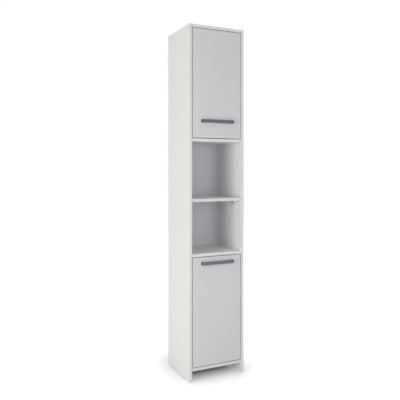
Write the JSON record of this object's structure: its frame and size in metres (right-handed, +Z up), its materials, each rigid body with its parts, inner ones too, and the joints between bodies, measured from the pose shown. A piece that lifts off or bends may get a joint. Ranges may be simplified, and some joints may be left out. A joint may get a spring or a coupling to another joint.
{
  "type": "tall bathroom cabinet",
  "caption": "Tall narrow cabinet with an upper and a lower hinged door, bar handles and an open niche with an adjustable shelf between them.",
  "frame": {"origin": "on the floor, under the middle of the whole outline, handles included", "axes": "+Z up, the doors face -Y and +X is to the right of someone facing them"},
  "size_m": [0.33, 0.318, 1.9],
  "materials": {
    "white_board": "white melamine laminate on particleboard, satin, with matching banded edges",
    "back_board": "white lacquered hardboard",
    "handle_metal": "dark grey brushed metal",
    "bright_steel": "zinc plated steel",
    "support_metal": "nickel plated steel, satin",
    "zinc": "cast zinc, dull",
    "magnet": "sintered ferrite, dull",
    "white_plastic": "moulded plastic, fine matt",
    "dowel_wood": "plain beech"
  },
  "bodies": {
    "carcass": {"left_side_panel": "white_board", "right_side_panel": "white_board", "top_panel": "white_board", "upper_divider": "white_board", "lower_divider": "white_board", "bottom_panel": "white_board", "back_panel": "back_board", "cam_locks": "zinc", "cam_bolts": "bright_steel", "wooden_dowels": "dowel_wood", "floor_glides": "white_plastic", "wall_bracket": "bright_steel", "wall_bracket_screws": "bright_steel", "lower_shelf_supports": "support_metal", "niche_shelf_supports": "support_metal", "upper_shelf_supports": "support_metal", "hinge_frame_leaves": "bright_steel", "hinge_frame_screws": "bright_steel", "hinge_pins": "bright_steel", "hinge_washers": "white_plastic", "catch_housings": "white_plastic", "catch_magnets": "magnet", "catch_screws": "bright_steel"},
    "lower_shelf": {"lower_shelf": "white_board"},
    "niche_shelf": {"niche_shelf": "white_board"},
    "upper_shelf": {"upper_shelf": "white_board"},
    "upper_door": {"upper_door": "white_board", "upper_door_hinge_leaves": "bright_steel", "upper_door_hinge_screws": "bright_steel", "upper_door_handle": "handle_metal", "upper_handle_screws": "bright_steel", "upper_strike_plate": "bright_steel", "upper_strike_screw": "bright_steel"},
    "lower_door": {"lower_door": "white_board", "lower_door_hinge_leaves": "bright_steel", "lower_door_hinge_screws": "bright_steel", "lower_door_handle": "handle_metal", "lower_handle_screws": "bright_steel", "lower_strike_plate": "bright_steel", "lower_strike_screw": "bright_steel"}
  },
  "joints": [
    {"name": "upper_door_swing", "type": "hinge", "parent": "carcass", "child": "upper_door", "pos_m": [0.126, -0.133, 1.5885], "axis": [0, 0, 1], "range_deg": [0, 110]},
    {"name": "lower_door_swing", "type": "hinge", "parent": "carcass", "child": "lower_door", "pos_m": [0.126, -0.133, 0.367], "axis": [0, 0, 1], "range_deg": [0, 110]},
    {"name": "upper_shelf_lift", "type": "slide", "parent": "carcass", "child": "upper_shelf", "axis": [0, 0, 1], "range_m": [0, 0.02]},
    {"name": "niche_shelf_lift", "type": "slide", "parent": "carcass", "child": "niche_shelf", "axis": [0, 0, 1], "range_m": [0, 0.02]},
    {"name": "lower_shelf_lift", "type": "slide", "parent": "carcass", "child": "lower_shelf", "axis": [0, 0, 1], "range_m": [0, 0.02]}
  ]
}
